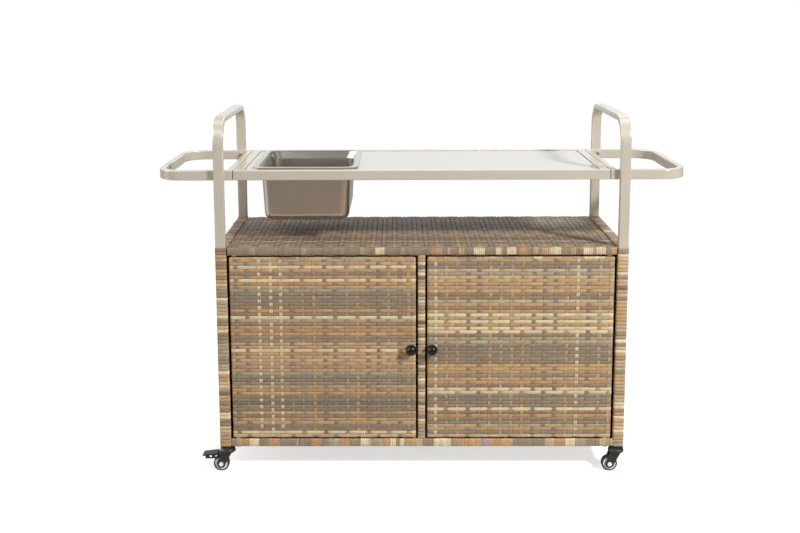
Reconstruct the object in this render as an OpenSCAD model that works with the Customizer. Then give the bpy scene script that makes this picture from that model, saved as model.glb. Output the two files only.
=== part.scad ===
// Rattan bar cart: two bent-tube side arches, a glass counter with a lift-out steel pan,
// towel loops at both ends, a woven two-door cabinet below, and four swivel casters.
// Origin on the floor, in the middle of the overall box. Front faces -Y.

/* [Frame] */
// Width over the outer faces of the posts
frame_w = 1026; // [900:2:1200]
// Depth over the front and back posts
frame_d = 406; // [390:2:480]
// Height of the arches above the floor
frame_h = 909; // [880:1:1000]
// Wide side of the flat tube
tube_w = 25; // [22:1:30]
// Narrow side of the flat tube
tube_t = 15; // [14:0.5:18]
// Wall of the steel tubes
tube_wall = 1.5; // [1.2:0.1:2]
// Rounding along the edges of the tubes
tube_r = 2.4; // [2:0.1:3]
// Outer radius of the bends at the top of an arch
arch_r = 65; // [45:1:90]

/* [Counter] */
// Height of the counter frame's top above the floor
counter_top = 777; // [740:1:800]
// Gap between the counter frame and a loop's crossbar
seam = 2; // [0.3:0.1:3]
// Distance from a post's inner face to the outer side of the crossbar
crossbar_inset = 5; // [2:0.5:10]
// Width of the end rails seen from above
end_rail_w = 23; // [18:1:30]
// Thickness of the glass
glass_t = 5; // [4:0.5:8]
// How far the glass lies below the top of its frame
glass_drop = 2.5; // [0.2:0.1:3]
// Gap all round the glass
glass_gap = 2; // [0.8:0.1:3]
// Height of the pads under the glass
pad_t = 1.5; // [1:0.1:2]
// Diameter of a pad
pad_d = 9; // [7:0.5:10]
// Width of the ledge that carries the glass
ledge_w = 11; // [10:0.5:12]
// Thickness of the ledge
ledge_t = 3; // [2:0.5:4]
// Width of the cross rail beside the pan
cross_rail_w = 15; // [10:1:20]

/* [Side loops] */
// How far a loop stands out from the post's outer face
loop_reach = 147; // [110:1:180]
// Outer radius of a loop's corners
loop_r = 66; // [40:1:80]

/* [Pan] */
// Width of the pan's flange
pan_w = 265; // [240:1:280]
// Distance from the glass's front and back edges to the flange
pan_end_margin = 9.3; // [6:0.1:14]
// Height of the pan below its flange
pan_h = 140; // [100:1:145]
// Width of the flange that rests on the glass
flange_w = 11; // [10:0.5:14]
// Thickness of the pan's sheet
pan_wall = 1.5; // [1:0.1:2]
// Depth of the flange's turned-down rim
rim_h = 5; // [2.5:0.1:6]
// Corner radius of the flange
flange_r = 24; // [16:1:28]
// How far the shoulder draws in below the flange
shoulder_in = 9; // [6:0.5:12]
// Height of the shoulder
shoulder_h = 20; // [14:1:26]
// How far each wall draws in from the shoulder to the bottom
pan_draft = 5.5; // [4:0.5:10]
// Radius between the walls and the bottom
pan_bottom_r = 17; // [14:1:26]
// Gap between the pan and the glass it rests on
rest_gap = 0.3; // [0.2:0.05:0.4]
// Distance from the glass's left edge to the flange
pan_margin = 18; // [14:1:60]
// Gap between the pan's neck and the glass
cutout_gap = 1.5; // [1:0.1:2]

/* [Cabinet] */
// Height of the shelf on top of the cabinet
shelf_top = 584; // [540:1:600]
// Thickness of the shelf panel, which is the height of its front band
shelf_t = 19; // [18:0.5:24]
// Thickness of the other woven panels
panel_t = 16; // [14:0.5:20]
// Thickness of the rattan wrapping
wrap_t = 1.3; // [1:0.1:1.8]
// Width of the closed edge round a hollow panel
panel_edge = 26; // [24:1:36]
// Gap between the panels and the wrapped side rails
panel_gap = 2.7; // [2:0.1:4]
// Gap where a panel is set in its frame
fit_gap = 0.3; // [0.2:0.05:0.5]
// Height of the steel tube in the front bottom rail
low_rail_h = 18; // [16:0.5:24]
// Width of the centre mullion's tube
mullion_w = 15.8; // [12:0.2:20]
// Depth of the centre mullion's tube
mullion_d = 12; // [10:0.5:13]

/* [Doors] */
// Thickness of a door
door_t = 20; // [18:0.5:24]
// Gap beside the centre mullion
mullion_gap = 5; // [3:0.5:8]
// Gap between a door and the post's wrapping
post_gap = 6.2; // [5:0.1:9]
// Thickness of a pivot washer
washer_t = 2.4; // [1:0.1:3]
// Thickness of a bushing's collar
collar_t = 2; // [1:0.1:3]
// Running gap between the collar and the washer
running_gap = 0.3; // [0.2:0.05:0.5]
// Thickness of the woven skin on a door
skin_t = 2.5; // [2:0.1:3]
// Width of the tubes in a door frame
stile_w = 18; // [16:0.5:22]
// Distance from a door's outer edge to its pivot
pivot_in = 13; // [12:0.5:14]
// Diameter of a pivot pin
pin_d = 6; // [5:0.5:7]
// Radial clearance of pins, stems and axles in their bores
run_fit = 0.05; // [0.02:0.01:0.1]
// Outer diameter of a bushing
bushing_d = 10; // [9:0.5:12]
// Outer diameter of washers and collars
washer_d = 14; // [12:0.5:15]
// How far a pin reaches into a door
pin_reach = 16; // [12:1:22]
// Diameter of a knob
knob_d = 27.5; // [20:0.5:30]
// How far a knob stands out from the door
knob_reach = 28; // [26:0.5:36]
// Diameter of a knob's neck
knob_neck_d = 14; // [12:0.5:16]
// Height of the knobs above the floor
knob_z = 325; // [250:1:400]
// Distance from a door's free edge to its knob
knob_in = 12; // [10:0.5:16]

/* [Bolts] */
// Diameter of the frame bolts
bolt_d = 6; // [5:0.5:8]
// Diameter of a bolt head
bolt_head_d = 11; // [10:0.5:13]
// Height of a bolt head
bolt_head_h = 3.2; // [2.5:0.1:4]
// Radial clearance of bolts in their holes
bolt_fit = 0.1; // [0.05:0.05:0.3]
// How far the panel bolts reach into a panel
bolt_reach = 20; // [14:1:30]
// Distance of the panel bolts from the middle, front to back
bolt_spread = 120; // [80:1:150]
// Diameter of the knob screws
screw_d = 4; // [3:0.5:5]

/* [Casters] */
// Height from the floor to the seat of a caster
caster_h = 63.5; // [62:0.5:80]
// Diameter of a wheel
wheel_d = 40; // [36:0.5:41]
// Width of a wheel
wheel_w = 16; // [14:0.5:17]
// Thickness of the tread
tyre_t = 4; // [3:0.5:5]
// Distance from the swivel axis back to the wheel's axle
trail = 16.5; // [14:0.5:20]
// Swivel axis, inward from the middle of the post
stem_in = 4.5; // [0:0.5:6]
// Diameter of the round swivel housing
housing_d = 40; // [34:0.5:42]
// Height of the swivel housing
housing_h = 12.5; // [11:0.5:14]
// Diameter of a stem
stem_d = 8; // [6:0.5:8.5]
// How far a stem reaches into its socket
stem_reach = 26; // [18:1:34]
// Thickness of the socket's collar under the post
socket_collar = 1.5; // [1:0.5:3]
// Thickness of a fork's cheeks
cheek_t = 3; // [2.5:0.25:4]
// Side play between a wheel and its fork
wheel_play = 1; // [0.6:0.1:1.5]
// Diameter of a wheel's axle
axle_d = 5; // [4:0.5:6]
// Length of a brake pedal from the swivel axis
pedal_reach = 63; // [58:1:76]
// Width of a brake pedal's plate
pedal_w = 26; // [22:1:30]

/* [Hidden] */
$fn = 48;

metal = [0.79, 0.77, 0.72];
steel = [0.75, 0.75, 0.74];
rattan = [0.66, 0.56, 0.42];
black = [0.07, 0.07, 0.07];
white = [0.93, 0.93, 0.90];

left = -1;
right = 1;
front = -1;
back = 1;

// Small sizes that several pieces share
cut = 1;
end_gap = 1;
least_r = 0.3;
tube_hole_r = max(tube_r - tube_wall, least_r);

// Front to back
back_reach = max(housing_d / 2 - tube_t / 2, wrap_t);
y_mid = (knob_reach - back_reach) / 2;
y_front = y_mid - frame_d / 2;
y_back = y_mid + frame_d / 2;
post_y = frame_d / 2 - tube_t / 2;

// Side to side
post_x = frame_w / 2 - tube_w / 2;
post_inner = frame_w / 2 - tube_w;
wrap_inner = post_inner - wrap_t;
panel_x = wrap_inner - panel_gap;
bar_outer = post_inner - crossbar_inset;
bar_inner = bar_outer - tube_t;
counter_x = bar_inner - seam;
loop_x = frame_w / 2 + loop_reach;

// Heights
post_bottom = caster_h + socket_collar;
counter_low = counter_top - tube_w;
arm_z = counter_top - tube_w / 2;
side_low_z = post_bottom + wrap_t + tube_t / 2;
side_high_z = shelf_top - wrap_t - tube_t / 2;
shelf_low = shelf_top - shelf_t;
low_rail_low = post_bottom + wrap_t;
low_rail_top = low_rail_low + low_rail_h + wrap_t;
post_wrap_rise = 1;

// Counter opening between the rails
open_x = counter_x - end_rail_w;
open_y = frame_d / 2 - 2 * tube_t;
glass_x = open_x - glass_gap;
glass_y = open_y - glass_gap;
glass_top = counter_top - glass_drop;
glass_low = glass_top - glass_t;
ledge_top = glass_low - pad_t;
seam_bolt_z = (counter_low + ledge_top - ledge_t) / 2;
glass_r = 2;
pan_x = -glass_x + pan_margin + pan_w / 2;
pan_d = 2 * (glass_y - pan_end_margin);
pan_neck_w = pan_w - 2 * flange_w;
pan_neck_d = pan_d - 2 * flange_w;
pan_corner_least = 4;
cross_rail_gap = 4;
cross_rail_x = pan_x + pan_neck_w / 2 + cutout_gap + cross_rail_gap + cross_rail_w / 2;

// Doors
door_gap = washer_t + running_gap + collar_t;
door_low = low_rail_top + door_gap;
door_high = shelf_low - door_gap;
mullion_half = mullion_w / 2 + wrap_t;
door_free = mullion_half + mullion_gap;
door_edge = wrap_inner - post_gap;
door_w = door_edge - door_free;
pivot_x = door_edge - pivot_in;
pivot_y = y_front + door_t / 2;
knob_x = door_free + knob_in;
strike_w = 30;
strike_h = 12;
strike_t = 1.2;
strike_gap = 14;
strike_x = door_free + stile_w + strike_gap + strike_w / 2;
catch_gap = 0.4;

// Casters
wheel_r = wheel_d / 2;
rim_r = wheel_r - tyre_t;
housing_gap = 0.5;
housing_top = caster_h - housing_gap;
housing_low = housing_top - housing_h;
cheek_y = wheel_w / 2 + wheel_play;
brake_x = -6;
brake_z = (wheel_d + housing_low) / 2;
brake_r = 4;
brake_pin_d = 3;

module box(lo, hi) {
    translate(lo) cube(hi - lo);
}

// Panel with woven skins over a hollow middle, closed at its edges
module panel(lo, hi, skin) {
    difference() {
        box(lo, hi);
        box(lo + skin, hi - skin);
    }
}

module rounded(w, h, r) {
    square([w - 2 * r, h], center = true);
    square([w, h - 2 * r], center = true);
    for (x = [-1, 1], y = [-1, 1]) {
        translate([x * (w / 2 - r), y * (h / 2 - r)]) circle(r);
    }
}

module tube_section(w, h) {
    difference() {
        rounded(w, h, tube_r);
        rounded(w - 2 * tube_wall, h - 2 * tube_wall, tube_hole_r);
    }
}

module wrap_section(w, h) {
    difference() {
        rounded(w + 2 * wrap_t, h + 2 * wrap_t, tube_r + wrap_t);
        rounded(w, h, tube_r);
    }
}

// Runs along one axis from the origin: the section's first size lies across, its second upright
module along_x(length) {
    rotate([90, 0, 90]) linear_extrude(length) children();
}

module along_y(length) {
    translate([0, length, 0]) rotate([90, 0, 0]) linear_extrude(length) children();
}

// Side pieces are drawn for the right side and mirrored for the left
module on_side(side) {
    if (side < 0) {
        mirror([1, 0, 0]) children();
    } else {
        children();
    }
}

// Bolt along +Z with its head below the plane z = 0
module bolt(length, d, head_d, head_h) {
    cylinder(d = d, h = length);
    translate([0, 0, -head_h]) cylinder(d = head_d, h = head_h);
}

// Bolts between the loops' arms and the posts, heads on the inner side
module loop_bolt_run(side, end, d, head_d) {
    translate([side * post_x, y_mid + end * open_y, arm_z])
        rotate([end * -90, 0, 0]) bolt(2 * tube_t - tube_wall - end_gap, d, head_d, bolt_head_h);
}

// Bolts between a counter end rail and a loop's crossbar, heads inside the counter
module seam_bolt_run(side, end, d, head_d) {
    reach = counter_x - open_x + seam + tube_t - tube_wall - end_gap;
    translate([side * open_x, y_mid + end * open_y / 2, seam_bolt_z])
        rotate([0, side * 90, 0]) bolt(reach, d, head_d, bolt_head_h);
}

module loop_bolt_set(d, head_d) {
    for (side = [left, right], end = [front, back]) {
        loop_bolt_run(side, end, d, head_d);
        seam_bolt_run(side, end, d, head_d);
    }
}

module loop_bolt_holes() {
    loop_bolt_set(bolt_d + 2 * bolt_fit, bolt_d + 2 * bolt_fit);
}

// Places [y, z] of the bolts that hold the panels to the side rails
back_panel_y = y_back - tube_t - wrap_t - fit_gap - panel_t / 2;
panel_bolt_places = [
    [y_mid - bolt_spread, side_high_z], [y_mid + bolt_spread, side_high_z],
    [y_mid - bolt_spread, side_low_z], [y_mid + bolt_spread, side_low_z],
    [back_panel_y, side_low_z]
];

module panel_bolt_set(d, head_d) {
    for (side = [left, right], place = panel_bolt_places) {
        on_side(side) translate([frame_w / 2 + wrap_t, place[0], place[1]]) rotate([0, -90, 0])
            bolt(frame_w / 2 + wrap_t - panel_x + bolt_reach, d, head_d, bolt_head_h);
    }
}

module panel_bolt_holes() {
    panel_bolt_set(bolt_d + 2 * bolt_fit, bolt_d + 2 * bolt_fit);
}

module arch(side) {
    leg_h = frame_h - arch_r - post_bottom;
    bend_r = arch_r - tube_t / 2;
    color(metal) difference() {
        translate([side * post_x, y_mid, 0]) {
            for (end = [front, back]) {
                translate([0, end * post_y, post_bottom]) linear_extrude(leg_h) tube_section(tube_w, tube_t);
            }
            translate([0, -frame_d / 2 + arch_r, frame_h - tube_t / 2])
                along_y(frame_d - 2 * arch_r) tube_section(tube_w, tube_t);
            translate([0, -frame_d / 2 + arch_r, frame_h - arch_r]) rotate([0, 90, 0]) rotate([0, 0, 180])
                rotate_extrude(angle = 90) translate([bend_r, 0]) tube_section(tube_t, tube_w);
            translate([0, frame_d / 2 - arch_r, frame_h - arch_r]) rotate([0, 90, 0]) rotate([0, 0, 90])
                rotate_extrude(angle = 90) translate([bend_r, 0]) tube_section(tube_t, tube_w);
        }
        loop_bolt_holes();
    }
}

module left_arch() { arch(left); }
module right_arch() { arch(right); }

// Two tubes on each side between the posts, level with the shelf and with the cabinet's floor
module side_rails() {
    color(metal) difference() {
        for (side = [left, right], z = [side_low_z, side_high_z]) {
            translate([side * post_x, y_front + tube_t, z])
                along_y(frame_d - 2 * tube_t) tube_section(tube_w, tube_t);
        }
        panel_bolt_holes();
    }
}

module front_bottom_rail() {
    color(metal) difference() {
        translate([-post_inner, y_front + wrap_t + tube_t / 2, low_rail_low + low_rail_h / 2])
            along_x(2 * post_inner) tube_section(tube_t, low_rail_h);
        pivot_holes();
    }
}

module centre_mullion() {
    color(metal) translate([0, y_front + 2 * wrap_t + mullion_d / 2, low_rail_top])
        linear_extrude(shelf_low - low_rail_top) tube_section(mullion_w, mullion_d);
}

module mullion_wrap() {
    color(rattan) translate([0, y_front + 2 * wrap_t + mullion_d / 2, low_rail_top])
        linear_extrude(shelf_low - low_rail_top) wrap_section(mullion_w, mullion_d);
}

// Wrapping on a post, open where the rails meet it
module post_wrap(side, end) {
    color(rattan) difference() {
        translate([side * post_x, y_mid + end * post_y, post_bottom])
            linear_extrude(shelf_top + post_wrap_rise - post_bottom) wrap_section(tube_w, tube_t);
        for (z = [side_low_z, side_high_z]) {
            translate([side * post_x, y_front + tube_t, z])
                along_y(frame_d - 2 * tube_t) rounded(tube_w, tube_t, tube_r);
        }
        translate([-post_inner, y_front + wrap_t + tube_t / 2, low_rail_low + low_rail_h / 2])
            along_x(2 * post_inner) rounded(tube_t, low_rail_h, tube_r);
    }
}

module front_left_post_wrap() { post_wrap(left, front); }
module front_right_post_wrap() { post_wrap(right, front); }
module back_left_post_wrap() { post_wrap(left, back); }
module back_right_post_wrap() { post_wrap(right, back); }

module side_rail_wraps() {
    color(rattan) difference() {
        for (side = [left, right], z = [side_low_z, side_high_z]) {
            translate([side * post_x, y_front + tube_t + wrap_t, z])
                along_y(frame_d - 2 * tube_t - 2 * wrap_t) wrap_section(tube_w, tube_t);
        }
        panel_bolt_holes();
    }
}

module bottom_rail_wrap() {
    color(rattan) difference() {
        translate([-wrap_inner, y_front + wrap_t + tube_t / 2, low_rail_low + low_rail_h / 2])
            along_x(2 * wrap_inner) wrap_section(tube_t, low_rail_h);
        pivot_holes();
    }
}

module shelf_panel() {
    color(rattan) difference() {
        panel([-panel_x, y_front, shelf_low], [panel_x, y_back - tube_t - wrap_t, shelf_top],
            [panel_edge, panel_edge, skin_t]);
        panel_bolt_holes();
        pivot_holes();
    }
}

module bottom_panel() {
    color(rattan) difference() {
        panel([-panel_x, y_front + tube_t + 2 * wrap_t + fit_gap, side_low_z - panel_t / 2],
            [panel_x, back_panel_y - panel_t / 2 - fit_gap, side_low_z + panel_t / 2],
            [panel_edge, panel_edge, skin_t]);
        panel_bolt_holes();
    }
}

module back_panel() {
    color(rattan) difference() {
        panel([-panel_x, back_panel_y - panel_t / 2, side_low_z - panel_t / 2],
            [panel_x, back_panel_y + panel_t / 2, shelf_low], [panel_edge, skin_t, panel_edge]);
        panel_bolt_holes();
    }
}

// Woven panel set between the posts and the side rails
module side_panel(side) {
    panel_y = frame_d / 2 - tube_t - wrap_t - fit_gap;
    rail_half = tube_t / 2 + wrap_t;
    color(rattan) on_side(side)
        panel([post_x - panel_t / 2, y_mid - panel_y, side_low_z + rail_half + fit_gap],
            [post_x + panel_t / 2, y_mid + panel_y, side_high_z - rail_half - fit_gap],
            [skin_t, panel_edge, panel_edge]);
}

module left_side_panel() { side_panel(left); }
module right_side_panel() { side_panel(right); }

module panel_bolts() {
    color(black) panel_bolt_set(bolt_d, bolt_head_d);
}

module panel_spacers() {
    color(black) difference() {
        for (side = [left, right], place = panel_bolt_places) {
            on_side(side) translate([panel_x, place[0], place[1]]) rotate([0, 90, 0])
                cylinder(d = washer_d, h = panel_gap);
        }
        panel_bolt_holes();
    }
}

// Rails round the glass, a ledge under its edge and a cross rail beside the pan
module counter_frame() {
    color(metal) difference() {
        union() {
            for (end = [front, back]) {
                translate([-counter_x, y_mid + end * (open_y + tube_t / 2), arm_z])
                    along_x(2 * counter_x) tube_section(tube_t, tube_w);
            }
            for (side = [left, right]) {
                translate([side * (open_x + end_rail_w / 2), y_mid - open_y, arm_z])
                    along_y(2 * open_y) tube_section(end_rail_w, tube_w);
            }
            difference() {
                box([-open_x, y_mid - open_y, ledge_top - ledge_t], [open_x, y_mid + open_y, ledge_top]);
                box([-open_x + ledge_w, y_mid - open_y + ledge_w, counter_low],
                    [open_x - ledge_w, y_mid + open_y - ledge_w, counter_top]);
            }
            box([cross_rail_x - cross_rail_w / 2, y_mid - open_y, counter_low],
                [cross_rail_x + cross_rail_w / 2, y_mid + open_y, ledge_top]);
        }
        loop_bolt_holes();
    }
}

module counter_glass() {
    color(white) translate([0, y_mid, glass_low]) difference() {
        linear_extrude(glass_t) rounded(2 * glass_x, 2 * glass_y, glass_r);
        translate([pan_x, 0, -cut]) linear_extrude(glass_t + 2 * cut)
            rounded(pan_neck_w + 2 * cutout_gap, pan_neck_d + 2 * cutout_gap, flange_r);
    }
}

module glass_pads() {
    pad_x = open_x - ledge_w / 2;
    pad_y = open_y - ledge_w / 2;
    color(black) for (x = [-pad_x, cross_rail_x, pad_x], end = [front, back]) {
        translate([x, y_mid + end * pad_y, ledge_top]) cylinder(d = pad_d, h = pad_t);
    }
}

// Closed loop of the same tube: two arms, a crossbar and two large rounded corners
module side_loop(side) {
    corner_r = loop_r - tube_t / 2;
    arm_y = open_y + tube_t / 2;
    color(metal) difference() {
        on_side(side) translate([0, y_mid, arm_z]) {
            for (end = [front, back]) {
                translate([bar_inner, end * arm_y, 0])
                    along_x(loop_x - loop_r - bar_inner) tube_section(tube_t, tube_w);
            }
            translate([bar_inner + tube_t / 2, -open_y, 0]) along_y(2 * open_y) tube_section(tube_t, tube_w);
            translate([loop_x - tube_t / 2, -open_y - tube_t + loop_r, 0])
                along_y(2 * (open_y + tube_t - loop_r)) tube_section(tube_t, tube_w);
            translate([loop_x - loop_r, open_y + tube_t - loop_r, 0])
                rotate_extrude(angle = 90) translate([corner_r, 0]) tube_section(tube_t, tube_w);
            translate([loop_x - loop_r, -open_y - tube_t + loop_r, 0]) rotate([0, 0, -90])
                rotate_extrude(angle = 90) translate([corner_r, 0]) tube_section(tube_t, tube_w);
        }
        loop_bolt_holes();
    }
}

module left_loop() { side_loop(left); }
module right_loop() { side_loop(right); }

module loop_bolts() {
    color(steel) loop_bolt_set(bolt_d, bolt_head_d);
}

// Pan body as a stack of rounded levels, drawn in by an inset at each height
module pan_level(z, inset, r) {
    translate([0, 0, z]) linear_extrude(0.01)
        rounded(pan_neck_w - 2 * inset, pan_neck_d - 2 * inset, r);
}

module pan_body(skin) {
    corner_r = flange_r - skin;
    low = -pan_h + skin;
    bottom_r = pan_bottom_r - skin;
    hull() {
        pan_level(0, skin, corner_r);
        pan_level(-shoulder_h, shoulder_in + skin, corner_r);
    }
    hull() {
        pan_level(-shoulder_h, shoulder_in + skin, corner_r);
        for (a = [0:15:90]) {
            level = low + bottom_r * (1 - sin(a));
            share = (-shoulder_h - level) / (pan_h - shoulder_h);
            inset = shoulder_in + skin + pan_draft * share + bottom_r * (1 - cos(a));
            pan_level(level, inset, max(corner_r - bottom_r * (1 - cos(a)) / 2, pan_corner_least));
        }
    }
}

module steel_pan() {
    flange_top = glass_top + rest_gap + rim_h;
    color(steel) translate([pan_x, y_mid, flange_top]) difference() {
        union() {
            translate([0, 0, -pan_wall]) linear_extrude(pan_wall) rounded(pan_w, pan_d, flange_r);
            translate([0, 0, -rim_h]) linear_extrude(rim_h) difference() {
                rounded(pan_w, pan_d, flange_r);
                rounded(pan_w - 2 * pan_wall, pan_d - 2 * pan_wall, flange_r - pan_wall);
            }
            pan_body(0);
        }
        pan_body(pan_wall);
        translate([0, 0, -pan_wall]) linear_extrude(2 * pan_wall)
            rounded(pan_neck_w - 2 * pan_wall, pan_neck_d - 2 * pan_wall, flange_r - pan_wall);
    }
}

// Pivot pins: bolts up through the bottom rail, and studs down from the shelf
module pivot_set(d, head_d) {
    low_head = post_bottom;
    for (side = [left, right]) {
        translate([side * pivot_x, pivot_y, low_head])
            bolt(door_low + pin_reach - low_head, d, head_d, bolt_head_h);
        translate([side * pivot_x, pivot_y, door_high - pin_reach])
            cylinder(d = d, h = shelf_low + shelf_t / 2 - door_high + pin_reach);
    }
}

module pivot_holes() {
    pivot_set(pin_d + 2 * bolt_fit, pin_d + 2 * bolt_fit);
}

module pivot_pins() {
    color(steel) pivot_set(pin_d, bolt_head_d);
}

module pivot_washers() {
    color(steel) difference() {
        for (side = [left, right], z = [low_rail_top, shelf_low - washer_t]) {
            translate([side * pivot_x, pivot_y, z]) cylinder(d = washer_d, h = washer_t);
        }
        pivot_holes();
    }
}

// Magnetic catches under the shelf, just behind the doors' strike plates
module door_catches() {
    catch_y = y_front + door_t + strike_t + catch_gap;
    color(black) for (side = [left, right]) {
        box([side * strike_x - strike_w / 2, catch_y, shelf_low - door_gap - strike_h],
            [side * strike_x + strike_w / 2, catch_y + strike_h, shelf_low]);
    }
}

module knob_hole(d) {
    translate([knob_x, y_front - knob_reach / 2, knob_z]) rotate([-90, 0, 0])
        cylinder(d = d, h = knob_reach / 2 + door_t);
}

// Block inside a door's skins, drawn in by an inset at its edges and by another at its faces
module door_block(inset, face_inset) {
    box([door_free + wrap_t + inset, y_front + skin_t + face_inset, door_low + wrap_t + inset],
        [door_edge - wrap_t - inset, y_front + door_t - skin_t - face_inset, door_high - wrap_t - inset]);
}

module bushing_holes() {
    for (z = [door_low, door_high - pin_reach]) {
        translate([pivot_x, pivot_y, z]) cylinder(d = bushing_d, h = pin_reach);
    }
}

// Four square tubes welded into a frame
module door_frame(side) {
    color(metal) on_side(side) difference() {
        door_block(0, 0);
        door_block(stile_w, -cut);
        difference() {
            door_block(tube_wall, tube_wall);
            door_block(stile_w - tube_wall, 0);
        }
        bushing_holes();
        knob_hole(screw_d + 2 * bolt_fit);
    }
}

module left_door_frame() { door_frame(left); }
module right_door_frame() { door_frame(right); }

// Woven skins and wrapped edges round the door's frame
module door_weave(side) {
    color(rattan) on_side(side) difference() {
        box([door_free, y_front, door_low], [door_edge, y_front + door_t, door_high]);
        door_block(0, 0);
        bushing_holes();
        knob_hole(screw_d + 2 * bolt_fit);
    }
}

module left_door_weave() { door_weave(left); }
module right_door_weave() { door_weave(right); }

module door_bushings(side) {
    color(black) on_side(side) translate([pivot_x, pivot_y, 0]) difference() {
        union() {
            translate([0, 0, door_low - collar_t]) cylinder(d = washer_d, h = collar_t);
            translate([0, 0, door_low]) cylinder(d = bushing_d, h = pin_reach);
            translate([0, 0, door_high - pin_reach]) cylinder(d = bushing_d, h = pin_reach);
            translate([0, 0, door_high]) cylinder(d = washer_d, h = collar_t);
        }
        translate([0, 0, door_low - door_gap])
            cylinder(d = pin_d + 2 * run_fit, h = door_high - door_low + 2 * door_gap);
    }
}

module left_door_bushings() { door_bushings(left); }
module right_door_bushings() { door_bushings(right); }

module knob(side) {
    neck = knob_reach - knob_d;
    color(black) on_side(side) difference() {
        translate([knob_x, y_front, knob_z]) rotate([90, 0, 0]) {
            cylinder(d = knob_neck_d, h = max(neck, 0) + knob_d / 3);
            translate([0, 0, knob_reach - knob_d / 2]) sphere(d = knob_d);
        }
        box([knob_x - knob_d, y_front, knob_z - knob_d], [knob_x + knob_d, y_front + knob_d, knob_z + knob_d]);
        knob_hole(screw_d + 2 * bolt_fit);
    }
}

module left_knob() { knob(left); }
module right_knob() { knob(right); }

module knob_screw(side) {
    color(steel) on_side(side) translate([knob_x, y_front + door_t, knob_z]) rotate([90, 0, 0])
        bolt(door_t + knob_reach / 2 - end_gap, screw_d, 2 * screw_d, screw_d / 2);
}

module left_knob_screw() { knob_screw(left); }
module right_knob_screw() { knob_screw(right); }

module strike(side) {
    color(steel) on_side(side)
        box([strike_x - strike_w / 2, y_front + door_t, door_high - strike_h],
            [strike_x + strike_w / 2, y_front + door_t + strike_t, door_high]);
}

module left_strike() { strike(left); }
module right_strike() { strike(right); }

// Casters, each drawn about its own swivel axis with the wheel trailing to the left
module at_caster(side, end) {
    translate([side * (post_x - stem_in), y_mid + end * post_y, 0]) children();
}

module caster_sockets() {
    inner_w = tube_w - 2 * tube_wall;
    inner_t = tube_t - 2 * tube_wall;
    stem_cover = 4;
    color(black) for (side = [left, right], end = [front, back]) {
        translate([side * post_x, y_mid + end * post_y, 0]) difference() {
            union() {
                translate([0, 0, caster_h]) linear_extrude(socket_collar)
                    rounded(tube_w + 2 * wrap_t, tube_t + 2 * wrap_t, tube_r + wrap_t);
                translate([0, 0, post_bottom]) linear_extrude(stem_reach + stem_cover)
                    rounded(inner_w, inner_t, tube_hole_r);
            }
            translate([-side * stem_in, 0, caster_h - cut])
                cylinder(d = stem_d + 2 * run_fit, h = stem_reach + cut + end_gap);
        }
    }
}

// Pivot of the brake pedal, through both cheeks
module brake_pin(d, reach) {
    translate([brake_x, -reach, brake_z]) rotate([-90, 0, 0]) cylinder(d = d, h = 2 * reach);
}

module axle_run(d, reach) {
    translate([-trail, -reach, wheel_r]) rotate([-90, 0, 0]) cylinder(d = d, h = 2 * reach);
}

// Stem, round swivel housing and the two cheeks that hold the wheel
module fork(side, end) {
    cheek_r = axle_d / 2 + 8;
    cheek_sink = 2;
    cheek_rear = housing_d * 0.38;
    cheek_fore = housing_d * 0.31;
    housing_r = housing_d / 2;
    color(black) at_caster(side, end) difference() {
        union() {
            translate([0, 0, housing_low]) cylinder(d = stem_d, h = caster_h - housing_low + stem_reach);
            rotate_extrude() polygon([
                [0, housing_low], [housing_r * 0.88, housing_low],
                [housing_r * 0.97, housing_low + housing_h * 0.12],
                [housing_r, housing_low + housing_h * 0.3], [housing_r * 0.98, housing_low + housing_h * 0.52],
                [housing_r * 0.9, housing_low + housing_h * 0.72],
                [housing_r * 0.76, housing_low + housing_h * 0.88],
                [housing_r * 0.55, housing_top], [0, housing_top]
            ]);
            for (turn = [-1, 1]) {
                translate([0, turn * (cheek_y + cheek_t / 2) + cheek_t / 2, 0]) rotate([90, 0, 0])
                    linear_extrude(cheek_t) {
                        polygon([
                            [-cheek_rear, housing_low + cheek_sink], [cheek_fore, housing_low + cheek_sink],
                            [-trail + cheek_r, wheel_r], [-trail - cheek_r, wheel_r]
                        ]);
                        translate([-trail, wheel_r]) circle(cheek_r);
                    }
            }
            if (side < 0) {
                brake_pin(brake_pin_d, cheek_y + cheek_t / 2);
            }
        }
        axle_run(axle_d + 2 * bolt_fit, cheek_y + cheek_t + cut);
    }
}

module axle(side, end) {
    cap_t = 1.5;
    cap_d = axle_d + 6;
    outer = cheek_y + cheek_t;
    color(steel) at_caster(side, end) {
        axle_run(axle_d, outer);
        for (y = [-outer - cap_t, outer]) {
            translate([-trail, y, wheel_r]) rotate([-90, 0, 0]) cylinder(d = cap_d, h = cap_t);
        }
    }
}

// Wheel centre: a boss on the axle, a flat disc and a rim for the tyre
module wheel(side, end) {
    bore_r = axle_d / 2 + run_fit;
    boss_r = axle_d / 2 + 3.5;
    rim_w = 2;
    rim_slope = 1;
    boss_half = wheel_w / 2 + 0.5;
    rim_half = wheel_w / 2 - 0.5;
    disc_half = wheel_w / 2 - 1.5;
    lip_r = rim_r - rim_w;
    color(white) at_caster(side, end) translate([-trail, 0, wheel_r]) rotate([90, 0, 0])
        rotate_extrude() polygon([
            [bore_r, -boss_half], [boss_r, -boss_half], [boss_r, -disc_half],
            [lip_r - rim_slope, -disc_half], [lip_r, -rim_half], [rim_r, -rim_half],
            [rim_r, rim_half], [lip_r, rim_half], [lip_r - rim_slope, disc_half],
            [boss_r, disc_half], [boss_r, boss_half], [bore_r, boss_half]
        ]);
}

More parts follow.
